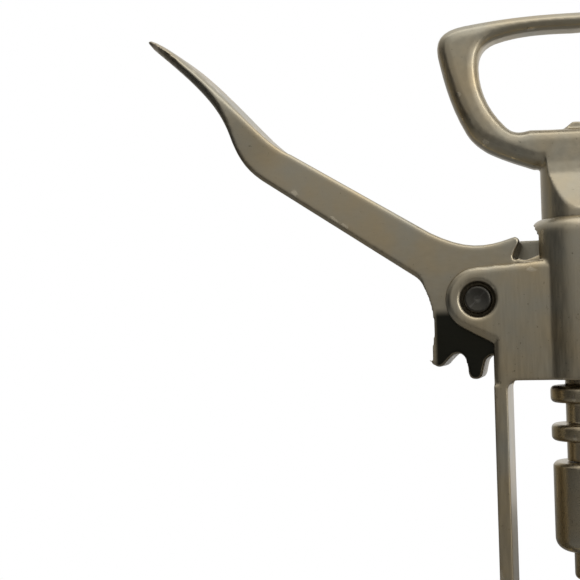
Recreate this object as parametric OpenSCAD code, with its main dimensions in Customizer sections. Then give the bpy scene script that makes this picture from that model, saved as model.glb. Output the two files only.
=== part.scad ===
// Wing corkscrew: a cast frame with a bell for the bottle, two geared levers, and a ringed rack
// that the levers lift. The handle turns the worm through the rack and is a cap lifter too.
// Origin: centre of the bell's bottom rim. +Z runs up to the handle, +X to the right lever,
// and the front of the tool faces -Y.

/* [Pivots and gearing] */
// Height of the lever pivots above the bell's rim
pivot_h = 79; // [76:0.5:84]
// Distance of each pivot from the tool's axis
pivot_x = 19.7; // [19.6:0.05:19.9]
// Distance from one rack ring to the next
rack_pitch = 7.4; // [7.3:0.05:7.5]
// Angle from one gear tooth to the next
tooth_step = 31; // [30.5:0.25:31.5]
// Number of full gear teeth on each lever
tooth_count = 6; // [4:1:6]

/* [Levers] */
// Thickness of a lever at its gear
lever_t = 10.6; // [9:0.2:11]
// Width of the thumb paddle
paddle_w = 13.6; // [11:0.2:15]
// Rounding of a lever's long edges
lever_edge = 0.8; // [0.4:0.1:0.9]
// Radius of the hole for the pivot pin
lever_bore_r = 2.65; // [2.62:0.01:2.7]

/* [Pivot pins] */
// Radius of a pivot pin
pin_r = 2.6; // [2.4:0.05:2.6]

/* [Frame] */
// Outer radius of the barrel
barrel_r = 9.7; // [9.5:0.1:10]
// Radius of the bore that guides the rack
barrel_bore_r = 7.5; // [7.35:0.05:7.6]
// Height of the barrel's top above the pivots
barrel_up = 15.6; // [14:0.1:17]
// Depth of the barrel's foot below the pivots
barrel_down = 15.8; // [15:0.1:16]
// Distance from the front face of the frame to its rear face
frame_t = 15.6; // [15:0.1:17]
// Thickness of a pivot ear
ear_t = 2.1; // [1.8:0.1:2.3]
// Radius of an ear's round end
ear_r = 6.4; // [6:0.1:7]
// Rounding of the ears' outer edges
ear_edge = 1.1; // [0.4:0.1:1.2]
// Outer face of a leg, from the axis
leg_x = 17; // [16.5:0.1:17.2]
// Thickness of a leg
leg_t = 2.6; // [2:0.1:2.6]

/* [Bell] */
// Outer radius of the bell
bell_r = 18.8; // [18.3:0.1:19]
// Height of the bell
bell_h = 13.5; // [12:0.5:16]
// Radius of the socket that takes the liner
socket_r = 16; // [15.8:0.1:16.2]
// Radius of the liner's mouth, which takes the bottle's lip
mouth_r = 15.2; // [15:0.1:15.4]
// Radius of the opening above the bottle's lip
throat_r = 12.4; // [11:0.1:13]

/* [Rack] */
// Radius of the rack's rings
ring_r = 6.7; // [6.4:0.1:6.8]
// Thickness of a ring
ring_t = 3.3; // [2.8:0.1:3.3]
// Number of rings
ring_count = 6; // [5:1:6]
// Radius of the sleeve between the rings
sleeve_r = 3.8; // [3.6:0.1:3.8]
// Radius of the hole through the sleeve
sleeve_bore_r = 2.06; // [2.02:0.01:2.1]

/* [Spindle and worm] */
// Radius of the spindle rod
rod_r = 2; // [1.8:0.05:2]
// Radius of the collar that holds the worm
collar_r = 6.6; // [6:0.1:6.6]
// Length of the collar
collar_len = 17.1; // [14:0.1:18]
// Radius of the worm's wire
wire_r = 1.6; // [1.4:0.1:1.8]
// Outer radius of the worm's coil
worm_r = 4.5; // [4:0.1:5]
// Rise of the worm in one turn
worm_pitch = 9; // [8:0.5:10]
// Length of the worm below its collar
worm_len = 50; // [46:1:52]

/* [Handle] */
// Turn of the handle about the axis, as drawn
head_turn = 6; // [0:1:30]
// Thickness of the flat head
head_t = 7.6; // [7:0.1:8]
// Rounding of the head's edges
head_edge = 2.8; // [1:0.1:3]
// Radius of the neck
neck_r = 7.3; // [7:0.05:7.3]

/* [Hidden] */
$fn = 64;
eps = 0.01;
pewter = [0.50, 0.48, 0.42];

gap_y = frame_t / 2 - ear_t;        // half the gap between the ears
barrel_top = pivot_h + barrel_up;
barrel_foot = pivot_h - barrel_down;
tooth_tip_r = 15.6;
tooth_root_r = 11.2;
fit_gap = 0.15;                     // axial play of the rack between the neck and the collar
neck_foot = barrel_top - 0.6;
rack_top = neck_foot - fit_gap;
rack_drop = 0.3;                    // how far the rack stands below its middle position, as drawn
top_ring_z = pivot_h + 1.5 * rack_pitch - rack_drop;
collar_top = top_ring_z - ring_count * rack_pitch + ring_t / 2;   // where the next ring would start
rack_foot = collar_top + fit_gap;
collar_foot = collar_top - collar_len;
boss_len = 5.6;                     // the short boss under the collar, from which the worm hangs
boss_foot = collar_foot - boss_len;
rod_grip = 8;                       // how far the rod runs into the neck and into the collar
worm_grip = 7;                      // how far the worm runs up into the collar

// ---------- curves ----------

// A point at t on the cubic curve with the four control points c
function bezier(c, t) = pow(1 - t, 3) * c[0] + 3 * t * pow(1 - t, 2) * c[1]
                        + 3 * t * t * (1 - t) * c[2] + pow(t, 3) * c[3];

// n points along the curve c, leaving out its last point
function along(c, n) = [for (i = [0:n - 1]) bezier(c, i / n)];

// The outline pts with each point i moved inwards by d[i]; pts run anticlockwise
function inset(pts, d) = [for (i = [0:len(pts) - 1])
    let (before = pts[(i + len(pts) - 1) % len(pts)],
         after = pts[(i + 1) % len(pts)],
         run = after - before)
    pts[i] + d[i] * [-run.y, run.x] / norm(run)];

// The same value for every point of pts
function constant(value, pts) = [for (p = pts) value];

// Steps of a quarter-round edge, from the side wall to the face, as shares of its radius:
// [distance in from the face, inset of the outline]
edge_steps = [for (a = [0:30:90]) [1 - sin(a), 1 - cos(a)]];

// Smooth step from 0 to 1 as t goes from 0 to 1
function ease(t) = let (c = max(0, min(1, t))) c * c * (3 - 2 * c);

// ---------- frame ----------

// Outline of one ear plate with its share of the leg, in X and Z; the plate's upper edge is
// level, rise above the pivots, out to the distance shelf. Trim draws the outline in.
module ear_outline(rise, shelf, trim) {
    lean = 26.6;                    // slope of the ear's lower edge
    ear_foot = 8.7;                 // where that edge meets the leg, below the pivots
    round_end = ear_r - trim;
    for (side = [-1, 1])
        scale([side, 1]) {
            translate([pivot_x, pivot_h])
                circle(r = round_end);
            polygon([[0, pivot_h + rise - trim],
                     [shelf, pivot_h + rise - trim],
                     [pivot_x + 0.2, pivot_h + round_end],
                     [pivot_x + round_end * sin(lean), pivot_h - round_end * cos(lean)],
                     [leg_x - trim, pivot_h - ear_foot + trim],
                     [leg_x - trim, barrel_foot - 3],
                     [leg_x - leg_t, barrel_foot - 3],
                     [leg_x - leg_t, barrel_foot - 1.5],
                     [leg_x - leg_t - 0.5, barrel_foot - 0.5],
                     [leg_x - leg_t - 1.5, barrel_foot],
                     [0, barrel_foot]]);
        }
}

// One ear plate on the side of the frame that facing gives: -1 the front, 1 the rear
module ear_plate(facing, rise, shelf) {
    for (s = edge_steps) {
        depth = ear_t - s[0] * ear_edge;
        scale([1, facing, 1])
            translate([0, gap_y + depth, 0])
                rotate([90, 0, 0])
                    linear_extrude(depth)
                        ear_outline(rise, shelf, s[1] * ear_edge);
    }
}

module barrel() {
    shoulder = 3;
    rotate_extrude()
        translate([0, barrel_foot]) {
            height = barrel_top - barrel_foot;
            square([barrel_r, height - shoulder]);
            square([barrel_r - shoulder, height]);
            translate([barrel_r - shoulder, height - shoulder])
                circle(r = shoulder);
        }
}

module leg() {
    strap_top = barrel_foot - 0.8;
    translate([leg_x - leg_t, -frame_t / 2, bell_h - 1])
        cube([leg_t, frame_t, strap_top - bell_h + 1]);
}

module bell() {
    bead = 0.7;
    top_round = 1.6;
    ceiling_t = 2;
    rotate_extrude() difference() {
        union() {
            square([bell_r, bell_h - top_round]);
            square([bell_r - top_round, bell_h]);
            translate([bell_r - top_round, bell_h - top_round])
                circle(r = top_round);
            translate([bell_r - 0.6, 1.3])
                circle(r = 1.3);
        }
        translate([-1, -1])
            square([throat_r + 1, bell_h + 2]);
        translate([0, -1])
            square([socket_r, bell_h - ceiling_t + 1]);
        polygon([[socket_r - eps, -eps], [socket_r + bead, -eps], [socket_r - eps, bead]]);
    }
}

// Slot through both side walls of the barrel, where the gears reach the rack. Its arched top
// clears the corners of the teeth.
module gear_slot() {
    arch_foot = pivot_h + 11.3;
    arch_rise = 3.2;
    reach = 2 * pivot_x;
    arch = [for (a = [0:15:180]) [gap_y * cos(a), arch_foot + arch_rise * sin(a)]];
    rotate([90, 0, 90])
        translate([0, 0, -reach / 2])
            linear_extrude(reach)
                polygon(concat(arch, [[-gap_y, barrel_foot - 1], [gap_y, barrel_foot - 1]]));
}

// The stepped hole for one pivot pin, with a chamfered recess in each outer face
module pin_hole(side) {
    recess_r = 3.35;
    recess_depth = 1.1;
    chamfer = 0.55;
    translate([side * pivot_x, 0, pivot_h])
        rotate([90, 0, 0]) {
            cylinder(r = pin_r, h = frame_t + 1, center = true);
            for (face = [-1, 1])
                scale([1, 1, face])
                    translate([0, 0, frame_t / 2 - recess_depth]) {
                        cylinder(r = recess_r, h = recess_depth + 1);
                        translate([0, 0, recess_depth - chamfer])
                            cylinder(r1 = recess_r, r2 = recess_r + chamfer + eps, h = chamfer + eps);
                    }
        }
}

module frame() {
    front_rise = 7.2;
    rear_rise = 12.2;
    color(pewter) difference() {
        union() {
            barrel();
            ear_plate(-1, front_rise, barrel_r - 1.5);
            ear_plate(1, rear_rise, barrel_r + 2.6);
            for (side = [0, 180])
                rotate(side)
                    leg();
            bell();
        }
        gear_slot();
        translate([0, 0, barrel_foot - 1])
            cylinder(r = barrel_bore_r, h = barrel_up + barrel_down + 2);
        for (side = [-1, 1])
            pin_hole(side);
    }
}

module bell_liner() {
    mouth_chamfer = 0.5;
    foot = 1.2;
    top = bell_h - 2;
    seat_t = 1.5;                   // the ledge that stops the bottle's lip
    color([0.10, 0.10, 0.11]) rotate_extrude()
        polygon([[socket_r, foot], [socket_r, top], [throat_r, top], [throat_r, top - seat_t],
                 [mouth_r, top - seat_t], [mouth_r, foot + mouth_chamfer],
                 [mouth_r + mouth_chamfer, foot]]);
}

// ---------- levers ----------

// A point of the gear at radius r and angle a; a lever lies to the right of its pivot and its
// tooth at angle 0 points left, at the rack
function gear_point(r, a) = [-r * cos(a), r * sin(a)];

// Half of a tooth's profile from its root to its tip: [radius, half width]
tooth_half = [[tooth_root_r + 0.2, 2.4], [11.9, 1.85], [13, 1.6], [14.6, 1.38], [15.3, 1.05],
              [tooth_tip_r, 0.45]];

// One side of the tooth at angle a; hand is -1 for the lower flank and 1 for the upper one
function flank(a, hand) = [for (p = tooth_half)
    gear_point(p[0], a + hand * p[1] / p[0] * 180 / PI)];

function reversed(list) = [for (i = [len(list) - 1:-1:0]) list[i]];

first_tooth = -4 * tooth_step - 1.2;

// All the full teeth, from the lowest to the highest, with the floor of each gap between them
teeth = [for (k = [0:tooth_count - 1])
    let (a = first_tooth + k * tooth_step)
    for (p = concat(k == 0 ? [flank(a, -1)[5]] : flank(a, -1), reversed(flank(a, 1)),
                    [gear_point(tooth_root_r, a + tooth_step / 2)])) p];

// The short nose above the last gap, which ends the gear
nose = [gear_point(10.3, 46), [-6.9, 8.3], [-7.3, 9.3], [-7.9, 10.4], [-8.2, 11.2], [-8, 11.8],
        [-7.4, 12.1]];

saddle = [[-6.8, 12], [-1.5, 10.2], [2.5, 10], [9.4, 13.7]];
back_edge = [[11.5, 4], [8.5, -0.3], [8.2, -7], [9.9, -11.2]];
back_tip = [[9.9, -11.8], [9.4, -12.6]];

// Upper and lower edges of the arm, from the hub out to the thumb paddle's tip
upper_sweep = [[38, 31.3], [46.2, 34.9], [54.9, 51], [69.8, 58.9]];
lower_knee = [[43.2, 25.45], [47.8, 28.4], [49.4, 31], [51.2, 36.3]];
lower_sweep = [[51.2, 36.3], [53.4, 42.1], [59, 48.4], [69.6, 57]];
knee_at = 0.35;                     // where the knee ends, along the upper sweep

sweep_steps = 26;
sweep = [for (i = [0:sweep_steps]) i / sweep_steps];
tip_point = [70.6, 58.3];

upper_arm = concat([saddle[3]], [for (t = sweep) bezier(upper_sweep, t)]);
lower_arm = concat([[12.3, 4.8]], [for (t = sweep)
    t < knee_at ? bezier(lower_knee, t / knee_at)
                : bezier(lower_sweep, (t - knee_at) / (1 - knee_at))]);

// Half width of the arm, front to rear: constant on the shank, wider on the paddle, and
// rounded off in plan at the tip
function arm_half(t) =
    let (flare = (paddle_w - lever_t) / 2 * pow(sin(90 * min(1, t / 0.7)), 2),
         end_round = t < 0.82 ? 1 : sqrt(1 - pow((t - 0.82) / 0.185, 2) * 0.8))
    (lever_t / 2 + flare) * end_round;

// The whole outline, anticlockwise, and the half width at each of its points
hub_outline = concat(reversed(nose), reversed(teeth), back_tip, reversed(along(back_edge, 8)));
saddle_outline = reversed(along(saddle, 8));
outline = concat(lower_arm, [tip_point], reversed(upper_arm), saddle_outline, hub_outline);
arm_widths = concat([lever_t / 2], [for (t = sweep) arm_half(t)]);
outline_widths = concat(arm_widths, [arm_half(1)], reversed(arm_widths),
                        constant(lever_t / 2, saddle_outline), constant(lever_t / 2, hub_outline));

// Rounding of the plate's edges: how far it reaches across the face, and how deep it is. It
// grows along the paddle until both edges nearly meet in a ridge.
lower_share = 0.56;
upper_share = 0.3;
paddle_depth = 2.6;
tooth_edge = 0.5;
function ridge(t) = ease((t - 0.3) / 0.35);
function arm_across(share) = concat([lever_edge], [for (i = [0:sweep_steps])
    let (thickness = norm(upper_arm[i + 1] - lower_arm[i + 1]), r = ridge(sweep[i]))
    lever_edge * (1 - r) + share * thickness * r]);
arm_deep = concat([lever_edge], [for (t = sweep) lever_edge + (paddle_depth - lever_edge) * ridge(t)]);
function round_trip(lower, upper) = concat(lower, [upper[len(upper) - 1]], reversed(upper),
    constant(lever_edge, saddle_outline), constant(tooth_edge, hub_outline));
edge_across = round_trip(arm_across(lower_share), arm_across(upper_share));
edge_deep = round_trip(arm_deep, arm_deep);

// A plate with the lever's outline and rounded edges, whose width follows the arm
module lever_plate() {
    count = len(outline);
    arm = len(lower_arm);
    levels = concat([for (s = reversed(edge_steps)) [-1, s[0], s[1]]],
                    [for (s = edge_steps) [1, s[0], s[1]]]);
    rings = [for (level = levels)
        let (drawn = inset(outline, level[2] * edge_across))
        for (i = [0:count - 1])
            [drawn[i].x, level[0] * (outline_widths[i] - level[1] * edge_deep[i]), drawn[i].y]];
    last = len(levels) - 1;
    walls = [for (k = [0:last - 1]) for (i = [0:count - 1])
        let (j = (i + 1) % count)
        for (half = [[k * count + i, k * count + j, (k + 1) * count + j],
                     [k * count + i, (k + 1) * count + j, (k + 1) * count + i]]) half];
    // the arm's faces are strips between its edges; the hub's face is one flat polygon
    hub_ids = concat([0], [for (i = [2 * arm:count - 1]) i]);
    strip = [for (i = [0:arm - 2])
        let (low = i, low_out = i + 1, up = 2 * arm - i, up_out = 2 * arm - i - 1)
        for (half = [[low, low_out, up_out], [low, up_out, up]]) half];
    face_ids = concat([hub_ids], strip, [[arm - 1, arm, arm + 1]]);
    front = [for (f = face_ids) reversed(f)];
    rear = [for (f = face_ids) [for (i = f) last * count + i]];
    polyhedron(points = rings, faces = concat(front, walls, rear), convexity = 10);
}

module lever() {
    difference() {
        lever_plate();
        rotate([90, 0, 0])
            cylinder(r = lever_bore_r, h = 2 * lever_t, center = true);
    }
}

module right_lever() {
    color(pewter)
        translate([pivot_x, 0, pivot_h])
            lever();
}

module left_lever() {
    color(pewter)
        translate([-pivot_x, 0, pivot_h])
            mirror([1, 0, 0])
                lever();
}

// ---------- pivot pins ----------

module pivot_pin(side) {
    pin_end = frame_t / 2 - 0.15;
    dish_r = 9;
    dish_depth = 0.25;
    end_round = 0.4;
    translate([side * pivot_x, 0, pivot_h])
        rotate([90, 0, 0])
            difference() {
                union() {
                    cylinder(r = pin_r, h = 2 * (pin_end - end_round), center = true);
                    cylinder(r = pin_r - end_round, h = 2 * pin_end, center = true);
                    for (face = [-1, 1])
                        scale([1, 1, face])
                            translate([0, 0, pin_end - end_round])
                                rotate_extrude()
                                    translate([pin_r - end_round, 0])
                                        circle(r = end_round);
                }
                for (face = [-1, 1])
                    translate([0, 0, face * (pin_end + dish_r - dish_depth)])
                        sphere(r = dish_r);
            }
}

module left_pivot_pin() {
    color([0.34, 0.33, 0.31])
        pivot_pin(-1);
}

module right_pivot_pin() {
    color([0.34, 0.33, 0.31])
        pivot_pin(1);
}

// ---------- rack, spindle and worm ----------

// Profile of one ring, standing on the axis, with rounded outer edges
module ring_profile() {
    edge = 0.9;
    translate([0, -ring_t / 2]) {
        square([ring_r - edge, ring_t]);
        translate([0, edge])
            square([ring_r, ring_t - 2 * edge]);
        for (z = [edge, ring_t - edge])
            translate([ring_r - edge, z])
                circle(r = edge);
    }
}

module rack_sleeve() {
    color(pewter) difference() {
        rotate_extrude() intersection() {
            union() {
                translate([0, rack_foot])
                    square([sleeve_r, rack_top - rack_foot]);
                for (k = [0:ring_count - 1])
                    translate([0, top_ring_z - k * rack_pitch])
                        ring_profile();
            }
            translate([0, rack_foot])
                square([2 * ring_r, rack_top - rack_foot]);
        }
        translate([0, 0, rack_foot - 1])
            cylinder(r = sleeve_bore_r, h = rack_top - rack_foot + 2);
    }
}

module spindle_rod() {
    color([0.62, 0.62, 0.62])
        translate([0, 0, collar_top - rod_grip])
            cylinder(r = rod_r, h = neck_foot - collar_top + 2 * rod_grip);
}

// Profile of a round bar of radius r that stands on the axis, its foot rounded by foot_round
module round_foot(r, height, foot_round) {
    translate([0, foot_round])
        square([r, height - foot_round]);
    square([r - foot_round, height]);
    translate([r - foot_round, foot_round])
        circle(r = foot_round);
}

module worm_collar() {
    top_edge = 0.6;
    boss_r = 3.1;
    color(pewter) difference() {
        rotate_extrude() {
            translate([0, collar_foot])
                round_foot(collar_r, collar_len - top_edge, 2.4);
            translate([0, boss_foot])
                round_foot(boss_r, boss_len + 1, 1);
            translate([0, collar_top - top_edge - eps])
                polygon([[0, 0], [collar_r, 0], [collar_r - top_edge, top_edge + eps],
                         [0, top_edge + eps]]);
        }
        translate([0, 0, collar_top - rod_grip])
            cylinder(r = rod_r, h = rod_grip + 1);
        translate([0, 0, boss_foot - 1])
            cylinder(r = wire_r, h = worm_grip + 1);
    }
}

// Radius of turn, wire radius and angle along the worm; s is the distance below the straight
// shank, and coil_len at the sharp tip
worm_shank = 2;
worm_steps = 96;
worm_sides = 12;
coil_len = worm_len - boss_len - worm_shank;
function coil_radius(s) = (worm_r - wire_r) * ease(s / (0.75 * worm_pitch));
function worm_wire(s) = wire_r * max(0.06, ease((coil_len - s) / (0.9 * worm_pitch) + 0.08));
function worm_angle(s) = 360 * max(0, s) / worm_pitch;
function worm_point(s) = [coil_radius(s) * cos(worm_angle(s)), -coil_radius(s) * sin(worm_angle(s)),
                          boss_foot - worm_shank - s];

module worm() {
    stations = concat([-worm_shank - worm_grip, -worm_shank / 2],
                      [for (i = [0:worm_steps]) coil_len * i / worm_steps]);
    points = [for (s = stations)
        let (run = worm_point(s + 0.05) - worm_point(s - 0.05),
             dir = run / norm(run),
             side = cross(dir, [0, 1, 0]) / norm(cross(dir, [0, 1, 0])),
             up = cross(side, dir))
        for (i = [0:worm_sides - 1])
            let (a = 360 * i / worm_sides)
            worm_point(s) + worm_wire(s) * (side * cos(a) + up * sin(a))];
    count = len(stations);
    walls = [for (k = [0:count - 2]) for (i = [0:worm_sides - 1])
        let (j = (i + 1) % worm_sides)
        for (half = [[k * worm_sides + i, (k + 1) * worm_sides + j, k * worm_sides + j],
                     [k * worm_sides + i, (k + 1) * worm_sides + i, (k + 1) * worm_sides + j]]) half];
    start = [for (i = [0:worm_sides - 1]) i];
    finish = [for (i = [worm_sides - 1:-1:0]) (count - 1) * worm_sides + i];
    color([0.62, 0.62, 0.62])
        polyhedron(points = points, faces = concat([start], walls, [finish]), convexity = 20);
}

// ---------- handle ----------

// The right half of the head's outline and of its opening, as heights above the pivots
head_curves = [
    [[8.4, 25.7], [11, 26.7], [14, 27.6], [17.5, 29.5]],
    [[17.5, 29.5], [19.4, 30.8], [20.6, 31.8], [21.6, 33.6]],
    [[21.6, 33.6], [24.6, 39], [25.9, 44.5], [26.9, 49.5]],
    [[26.9, 49.5], [27.4, 53], [25.6, 54.5], [21.5, 55.1]],
    [[21.5, 55.1], [15, 56], [9, 56.5], [0, 56.4]],
];
opening_curves = [
    [[0, 33.2], [3, 33.2], [6, 33.2], [9.2, 33.3]],
    [[9.2, 33.3], [11.3, 32.7], [12.6, 32.9], [13.8, 34.2]],
    [[13.8, 34.2], [17, 37.5], [18.8, 41.5], [18.8, 46.2]],
    [[18.8, 46.2], [18.8, 49.2], [18, 50.8], [15.4, 51.8]],
    [[15.4, 51.8], [11, 53.2], [6, 53.3], [0, 53.1]],
];
curve_steps = 7;

// Both halves of an outline whose right half is the list of curves
function both_halves(curves, first) =
    let (right = [for (c = curves) for (p = along(c, curve_steps)) p],
         top = curves[len(curves) - 1][3],
         left = [for (i = [len(right) - 1:-1:first]) [-right[i].x, right[i].y]])
    concat(right, [top], left);

// A plate with the outline pts, standing in the XZ plane and centred on it. A positive edge
// rounds its edges off, and a negative one flares them out, as for a cutter.
module standing_plate(pts, half_t, edge) {
    count = len(pts);
    r = abs(edge);
    cap = edge < 0 ? [[-0.5, r]] : [];          // a cutter runs out past the faces
    side = concat([for (s = edge_steps) s * r], cap);
    levels = concat([for (s = reversed(side)) [-1, s[0], s[1]]], [for (s = side) [1, s[0], s[1]]]);
    points = [for (level = levels)
        let (drawn = inset(pts, constant(sign(edge) * level[2], pts)))
        for (p = drawn) [p.x, level[0] * (half_t - level[1]), p.y]];
    last = len(levels) - 1;
    walls = [for (k = [0:last - 1]) for (i = [0:count - 1])
        let (j = (i + 1) % count)
        for (half = [[k * count + i, k * count + j, (k + 1) * count + j],
                     [k * count + i, (k + 1) * count + j, (k + 1) * count + i]]) half];
    front = [for (i = [count - 1:-1:0]) i];
    rear = [for (i = [0:count - 1]) last * count + i];
    polyhedron(points = points, faces = concat([front], walls, [rear]), convexity = 10);
}

// The neck: a round bar whose front and rear are faired into the flat head
module neck() {
    cut_start = 17;
    cut_end = 25.5;
    flat = head_t / 2;
    top = 29;
    foot = neck_foot - pivot_h;
    front = [[neck_r + 1, foot - 1], [neck_r + 1, cut_start - 1.5], [neck_r - 0.2, cut_start],
             [flat + 1.2, cut_end - 3.4], [flat + 0.3, cut_end - 1.2], [flat, cut_end + 1],
             [flat, top + 1]];
    rear = [for (p = reversed(front)) [-p.x, p.y]];
    intersection() {
        translate([0, 0, foot])
            cylinder(r = neck_r, h = top - foot);
        rotate([90, 0, 90])
            translate([0, 0, -2 * neck_r])
                linear_extrude(4 * neck_r)
                    polygon(concat(front, rear));
    }
}

// The tongue in the opening that catches a crown cap
module cap_tongue() {
    foot_half = 2.6;
    top_half = 0.8;
    lift = 1.4;
    depth = 3.6;
    sill = opening_curves[0][0].y;
    translate([0, depth / 2, 0])
        rotate([90, 0, 0])
            linear_extrude(depth)
                polygon([[-foot_half, sill - 1], [foot_half, sill - 1], [foot_half, sill],
                         [top_half, sill + lift], [-top_half, sill + lift], [-foot_half, sill]]);
}

module handle() {
    opening_edge = 2.2;
    color(pewter)
        translate([0, 0, pivot_h])
            rotate(head_turn)
                difference() {
                    union() {
                        difference() {
                            standing_plate(both_halves(head_curves, 0), head_t / 2, head_edge);
                            standing_plate(both_halves(opening_curves, 1), head_t / 2, -opening_edge);
                        }
                        neck();
                        cap_tongue();
                    }
                    translate([0, 0, neck_foot - pivot_h - 1])
                        cylinder(r = rod_r, h = rod_grip + 1);
                }
}

frame();
bell_liner();
left_pivot_pin();
right_pivot_pin();
left_lever();
right_lever();
rack_sleeve();
spindle_rod();
worm_collar();
worm();
handle();
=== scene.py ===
"""Looks of the wing corkscrew: satin antique-nickel castings, dark pins, a polished worm.

Everything is in metres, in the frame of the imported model: +Z runs up the worm's axis, +X to the
right lever, and the front of the tool faces -Y.
"""

from math import radians

import bpy
from mathutils import Matrix, Vector


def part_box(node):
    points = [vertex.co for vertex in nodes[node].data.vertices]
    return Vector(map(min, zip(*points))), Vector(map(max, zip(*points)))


MM = 0.001

# Noise scales, in waves per metre
CLOUD = 95.0
PITS = 1500.0
BRUSHING = 2600.0
BLAST = 9000.0

# The mesh's pointiness from deep recess to flat, and from slight edge to sharp edge
RECESS = (0.44, 0.49)
EDGE = (0.525, 0.575)

# Near-black colour of the painted shade on the gear faces under the ear plates
EAR_SHADE_COLOR = (0.016, 0.017, 0.013)

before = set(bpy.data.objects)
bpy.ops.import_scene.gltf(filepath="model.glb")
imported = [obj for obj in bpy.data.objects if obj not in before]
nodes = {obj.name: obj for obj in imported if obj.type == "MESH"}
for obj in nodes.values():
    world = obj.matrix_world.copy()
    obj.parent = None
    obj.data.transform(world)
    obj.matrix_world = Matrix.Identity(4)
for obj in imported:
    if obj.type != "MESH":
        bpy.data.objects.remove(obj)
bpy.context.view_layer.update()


# ---------- shapes ----------

def soften(node, voxel, rounds):
    """Rounds a CAD node's edges as a die casting's are, by an even mesh that is then relaxed."""
    obj = nodes[node]
    weld = obj.modifiers.new("weld", "WELD")
    weld.merge_threshold = 0.001 * MM
    remesh = obj.modifiers.new("remesh", "REMESH")
    remesh.mode = "VOXEL"
    remesh.voxel_size = voxel * MM
    remesh.use_smooth_shade = True
    relax = obj.modifiers.new("relax", "SMOOTH")
    relax.factor = 0.5
    relax.iterations = rounds
    thin = obj.modifiers.new("thin", "DECIMATE")
    thin.ratio = 0.4


# ---------- materials ----------

class Nodes:
    """Short calls for building a material's node tree."""

    def __init__(self, name, color):
        self.material = bpy.data.materials.new(name)
        self.material.use_nodes = True
        self.material.diffuse_color = (*color, 1.0)
        self.tree = self.material.node_tree
        self.shader = self.tree.nodes["Principled BSDF"]
        self.coords = self.add("ShaderNodeTexCoord").outputs["Object"]

    def add(self, kind, **settings):
        node = self.tree.nodes.new(kind)
        for key, value in settings.items():
            setattr(node, key, value)
        return node

    def link(self, out, into):
        self.tree.links.new(out, into)

    def noise(self, scale, detail=4.0, stretch=(1.0, 1.0, 1.0)):
        """Noise of scale per metre, drawn out along the axes by the stretch."""
        mapping = self.add("ShaderNodeMapping")
        mapping.inputs["Scale"].default_value = stretch
        self.link(self.coords, mapping.inputs["Vector"])
        noise = self.add("ShaderNodeTexNoise")
        noise.inputs["Scale"].default_value = scale
        noise.inputs["Detail"].default_value = detail
        self.link(mapping.outputs["Vector"], noise.inputs["Vector"])
        return noise.outputs["Fac"]

    def ramp(self, fac, *stops):
        """A colour ramp through (position, colour or grey) stops."""
        ramp = self.add("ShaderNodeValToRGB")
        elements = ramp.color_ramp.elements
        while len(elements) < len(stops):
            elements.new(0.5)
        for element, (position, value) in zip(elements, stops):
            color = (value, value, value) if isinstance(value, (int, float)) else value
            element.position = position
            element.color = (*color, 1.0)
        self.link(fac, ramp.inputs["Fac"])
        return ramp.outputs["Color"]

    def mix(self, mode, fac, a, b):
        """Blends the colours a and b; fac is a number or a socket."""
        mix = self.add("ShaderNodeMix", data_type="RGBA", blend_type=mode)
        for value, socket in ((fac, mix.inputs[0]), (a, mix.inputs[6]), (b, mix.inputs[7])):
            if isinstance(value, bpy.types.NodeSocket):
                self.link(value, socket)
            elif isinstance(value, (int, float)):
                socket.default_value = value
            else:
                socket.default_value = (*value, 1.0)
        return mix.outputs[2]

    def step(self, value, zero_at, one_at):
        """Smooth step of a value from 0 to 1 between two of its values."""
        step = self.add("ShaderNodeMapRange", interpolation_type="SMOOTHSTEP")
        self.link(value, step.inputs["Value"])
        step.inputs["From Min"].default_value = zero_at
        step.inputs["From Max"].default_value = one_at
        return step.outputs[0]

    def axes(self, vector):
        """The X, Y and Z of a vector; X and Y without their sign."""
        split = self.add("ShaderNodeSeparateXYZ")
        self.link(vector, split.inputs[0])
        size = {}
        for axis in "XY":
            plain = self.add("ShaderNodeMath", operation="ABSOLUTE")
            self.link(split.outputs[axis], plain.inputs[0])
            size[axis] = plain.outputs[0]
        return size["X"], size["Y"], split.outputs["Z"]

    def bump(self, height, distance, strength, below=None):
        bump = self.add("ShaderNodeBump")
        bump.inputs["Strength"].default_value = strength
        bump.inputs["Distance"].default_value = distance
        self.link(height, bump.inputs["Height"])
        if below is not None:
            self.link(below, bump.inputs["Normal"])
        return bump.outputs["Normal"]


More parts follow.
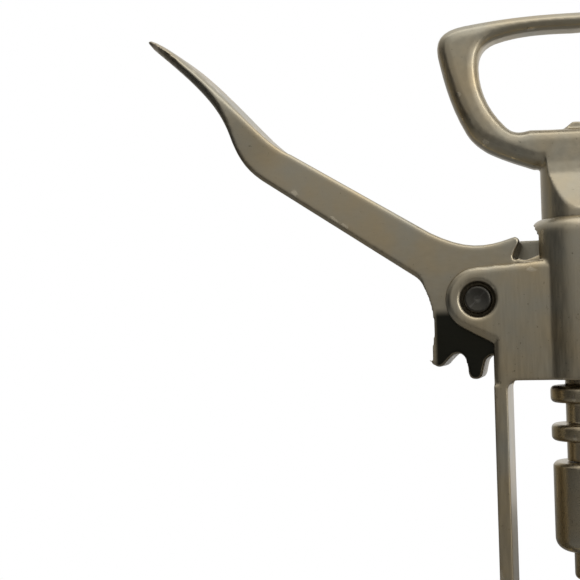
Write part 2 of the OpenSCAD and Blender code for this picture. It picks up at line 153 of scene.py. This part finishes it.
def plated_metal(name, color, grain, rough=0.34, edge_wear_and_highlight=0.5, shade_under_ears=None):
    """Satin plating, brushed along the axis where grain is small, darker in the recesses (oxide
    together with painted shade) and brighter on the edges (worn plating together with painted
    highlights). The shade
    zone, if given, is (height, distance): the flat faces below that height and nearer to the tool's
    axis than that distance get a near-black painted shade, for the shadow under the ear plates."""
    n = Nodes(name, color)
    dark = tuple(c * 0.45 for c in color)
    bright = tuple(min(1.0, c * 1.55 + 0.04) for c in color)
    warm = (color[0] * 1.06, color[1] * 0.99, color[2] * 0.86)
    cool = (color[0] * 0.93, color[1] * 0.98, color[2] * 1.04)
    recess_oxide_and_shade = 0.5
    edge_rough = rough - 0.12
    patches = n.noise(CLOUD, 3.0)
    brushed = n.noise(BRUSHING, 3.0, grain)
    fine = n.noise(BLAST, 2.0)
    pits = n.noise(PITS, 5.0)
    base = n.mix("MIX", n.ramp(patches, (0.35, 0.0), (0.68, 1.0)), cool, warm)
    base = n.mix("MULTIPLY", 0.35, base, n.ramp(brushed, (0.3, 0.78), (0.7, 1.0)))
    base = n.mix("MULTIPLY", 0.6, base, n.ramp(pits, (0.27, 0.35), (0.33, 1.0)))
    edges = n.add("ShaderNodeNewGeometry").outputs["Pointiness"]
    # Painted shade: faces facing front or back, below and inside the ear plates, are painted
    # near-black for the ears' shadow
    if shade_under_ears is not None:
        height, distance = shade_under_ears
        from_axis, _, up = n.axes(n.coords)
        _, facing, _ = n.axes(n.add("ShaderNodeTexCoord").outputs["Normal"])
        fade_down = 2 * MM
        fade_in = 1 * MM
        black = n.mix("MULTIPLY", 1.0, n.step(up, height, height - fade_down),
                      n.step(from_axis, distance, distance - fade_in))
        black = n.mix("MULTIPLY", 1.0, black, n.ramp(facing, (0.8, 0.25), (0.97, 0.97)))
        base = n.mix("MIX", black, base, EAR_SHADE_COLOR)
    # Darker in the recesses: oxide of the antique finish together with painted shade
    base = n.mix("MIX", n.ramp(edges, (RECESS[0], recess_oxide_and_shade), (RECESS[1], 0.0)), base, dark)
    # Brighter on the edges: worn plating together with painted highlights
    base = n.mix("MIX", n.ramp(edges, (EDGE[0], 0.0), (EDGE[1], edge_wear_and_highlight)), base, bright)
    n.link(base, n.shader.inputs["Base Color"])
    n.shader.inputs["Metallic"].default_value = 1.0
    spread = n.ramp(brushed, (0.25, rough - 0.06), (0.75, rough + 0.07))
    spread = n.mix("MIX", n.ramp(edges, (EDGE[0], 0.0), (EDGE[1], 0.6)), spread, (edge_rough,) * 3)
    n.link(spread, n.shader.inputs["Roughness"])
    normal = n.bump(patches, 0.05 * MM, 0.25)
    normal = n.bump(brushed, 0.012 * MM, 0.5, normal)
    normal = n.bump(fine, 0.006 * MM, 0.4, normal)
    n.link(normal, n.shader.inputs["Normal"])
    return n.material


def moulded_plastic(name, color):
    """Fine matt moulded plastic."""
    n = Nodes(name, color)
    cloud = n.noise(140.0)
    grain = n.noise(5200.0, 2.0)
    n.link(n.mix("MIX", cloud, color, tuple(c * 1.7 for c in color)), n.shader.inputs["Base Color"])
    n.link(n.ramp(grain, (0.3, 0.42), (0.7, 0.6)), n.shader.inputs["Roughness"])
    n.link(n.bump(grain, 0.02 * MM, 0.5), n.shader.inputs["Normal"])
    return n.material


def put(material, *names):
    """Gives the material, and smooth shading, to the CAD nodes with these names."""
    for name in names:
        mesh = nodes[name].data
        mesh.materials.clear()
        mesh.materials.append(material)
        mesh.polygons.foreach_set("use_smooth", [True] * len(mesh.polygons))


# ---------- studio ----------

def add_light(name, place, aim, size, power):
    light = bpy.data.lights.new(name, "AREA")
    light.shape = "RECTANGLE"
    light.size, light.size_y = size
    light.energy = power
    obj = bpy.data.objects.new(name, light)
    obj.location = place
    obj.rotation_euler = (Vector(aim) - Vector(place)).to_track_quat("-Z", "Y").to_euler()
    bpy.context.scene.collection.objects.link(obj)


def add_floor(level):
    """A pale floor that is plain white to the camera and matt grey to the metal."""
    half = 0.35
    mesh = bpy.data.meshes.new("floor")
    corners = [(x * half, y * half, level) for x, y in ((-1, -1), (1, -1), (1, 1), (-1, 1))]
    mesh.from_pydata(corners, [], [(0, 1, 2, 3)])
    floor = bpy.data.objects.new("floor", mesh)
    bpy.context.scene.collection.objects.link(floor)
    n = Nodes("floor", (0.9, 0.9, 0.9))
    tint = n.ramp(n.noise(9.0), (0.3, 0.2), (0.7, 0.22))
    n.link(tint, n.shader.inputs["Base Color"])
    n.shader.inputs["Roughness"].default_value = 0.9
    pale = n.add("ShaderNodeEmission")
    mix = n.add("ShaderNodeMixShader")
    n.link(n.add("ShaderNodeLightPath").outputs["Is Camera Ray"], mix.inputs[0])
    n.link(n.shader.outputs[0], mix.inputs[1])
    n.link(pale.outputs[0], mix.inputs[2])
    n.link(mix.outputs[0], n.tree.nodes["Material Output"].inputs["Surface"])
    mesh.materials.append(n.material)


def add_world():
    """White to the camera, and to the metal a room that is bright above, behind and to the right."""
    bright_side = Vector((0.62, 0.35, 0.70))
    room = ((0.12, 0.03), (0.23, 0.1), (0.34, 0.28), (0.5, 0.46), (0.66, 0.9))
    world = bpy.data.worlds.new("studio")
    bpy.context.scene.world = world
    world.use_nodes = True
    tree = world.node_tree
    back = tree.nodes["Background"]
    coords = tree.nodes.new("ShaderNodeTexCoord")
    toward = tree.nodes.new("ShaderNodeVectorMath")
    toward.operation = "DOT_PRODUCT"
    toward.inputs[1].default_value = bright_side.normalized()
    share = tree.nodes.new("ShaderNodeMapRange")
    share.inputs["From Min"].default_value = -1.0
    ramp = tree.nodes.new("ShaderNodeValToRGB")
    tree.links.new(coords.outputs["Generated"], toward.inputs[0])
    tree.links.new(toward.outputs["Value"], share.inputs["Value"])
    tree.links.new(share.outputs[0], ramp.inputs["Fac"])
    elements = ramp.color_ramp.elements
    while len(elements) < len(room):
        elements.new(0.5)
    for element, (position, grey) in zip(elements, room):
        element.position = position
        element.color = (grey, grey, grey, 1.0)
    paths = tree.nodes.new("ShaderNodeLightPath")
    white = tree.nodes.new("ShaderNodeBackground")
    white.inputs["Color"].default_value = (1.0, 1.0, 1.0, 1.0)
    mix = tree.nodes.new("ShaderNodeMixShader")
    tree.links.new(ramp.outputs["Color"], back.inputs["Color"])
    tree.links.new(paths.outputs["Is Camera Ray"], mix.inputs[0])
    tree.links.new(back.outputs[0], mix.inputs[1])
    tree.links.new(white.outputs[0], mix.inputs[2])
    tree.links.new(mix.outputs[0], tree.nodes["World Output"].inputs["Surface"])


def add_camera(pivot_z):
    """Level with the ear's foot, in front of the tool and turned to its left lever, as the
    photographer stood."""
    from_pivots = Vector((0.85, -200.4, -6.85)) * MM
    turn = radians(13.5)
    rise = radians(2.75)
    roll = radians(-1.35)
    data = bpy.data.cameras.new("camera")
    data.sensor_width = 36.0
    data.lens = 61.6
    data.shift_x = -0.1
    data.clip_start = 0.01
    camera = bpy.data.objects.new("camera", data)
    camera.matrix_world = (Matrix.Translation(from_pivots + Vector((0, 0, pivot_z)))
                           @ Matrix.Rotation(turn, 4, "Z")
                           @ Matrix.Rotation(radians(90) + rise, 4, "X")
                           @ Matrix.Rotation(roll, 4, "Z"))
    bpy.context.scene.collection.objects.link(camera)
    bpy.context.scene.camera = camera


# ---------- the corkscrew ----------

pin_low, pin_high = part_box("left_pivot_pin")
pivot_z = (pin_low.z + pin_high.z) / 2
pivot_x = abs(pin_low.x + pin_high.x) / 2
worm_tip_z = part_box("worm")[0].z

pewter = (0.45, 0.393, 0.29)

# Painted shade for the ear plates' shadow: the gears' front faces are painted near-black below this
# height and out to this distance from the axis
gear_shade_zone = (pivot_z - 1.2 * MM, pivot_x + 9.2 * MM)

# Voxel size in millimetres and rounds of relaxing for each casting
castings = {
    "frame": (0.25, 7),
    "left_lever": (0.22, 9),
    "right_lever": (0.22, 9),
    "handle": (0.25, 8),
    "rack_sleeve": (0.2, 4),
    "worm_collar": (0.2, 4),
}
for node, (voxel, rounds) in castings.items():
    soften(node, voxel, rounds)

put(plated_metal("frame_plating", pewter, (1.0, 1.0, 0.08)), "frame")
put(plated_metal("lever_plating", pewter, (0.2, 1.0, 0.5), shade_under_ears=gear_shade_zone),
    "left_lever", "right_lever")
put(plated_metal("handle_plating", pewter, (0.3, 1.0, 0.3)), "handle")
put(plated_metal("rack_plating", pewter, (1.0, 1.0, 6.0), rough=0.3), "rack_sleeve", "worm_collar")
put(plated_metal("pin_steel", (0.075, 0.07, 0.06), (1.0, 1.0, 1.0), rough=0.45, edge_wear_and_highlight=0.4),
    "left_pivot_pin", "right_pivot_pin")
put(plated_metal("worm_steel", (0.6, 0.59, 0.56), (1.0, 1.0, 3.0), rough=0.2, edge_wear_and_highlight=0.3),
    "worm", "spindle_rod")
put(moulded_plastic("liner_plastic", (0.02, 0.02, 0.022)), "bell_liner")

add_world()
add_floor(worm_tip_z - 1 * MM)
add_camera(pivot_z)

# Name, place, aim, size and power in watts of each soft box
soft_boxes = (
    ("top_box", (0.1, -0.15, 0.75), (0, 0, 0.08), (0.7, 0.5), 0.9),
    ("right_box", (0.55, -0.35, 0.3), (0, 0, 0.09), (0.25, 0.6), 1.1),
    ("front_fill", (-0.25, -0.8, 0.35), (0, 0, 0.09), (0.5, 0.5), 0.25),
)
for soft_box in soft_boxes:
    add_light(*soft_box)

bpy.context.scene.view_settings.view_transform = "Standard"
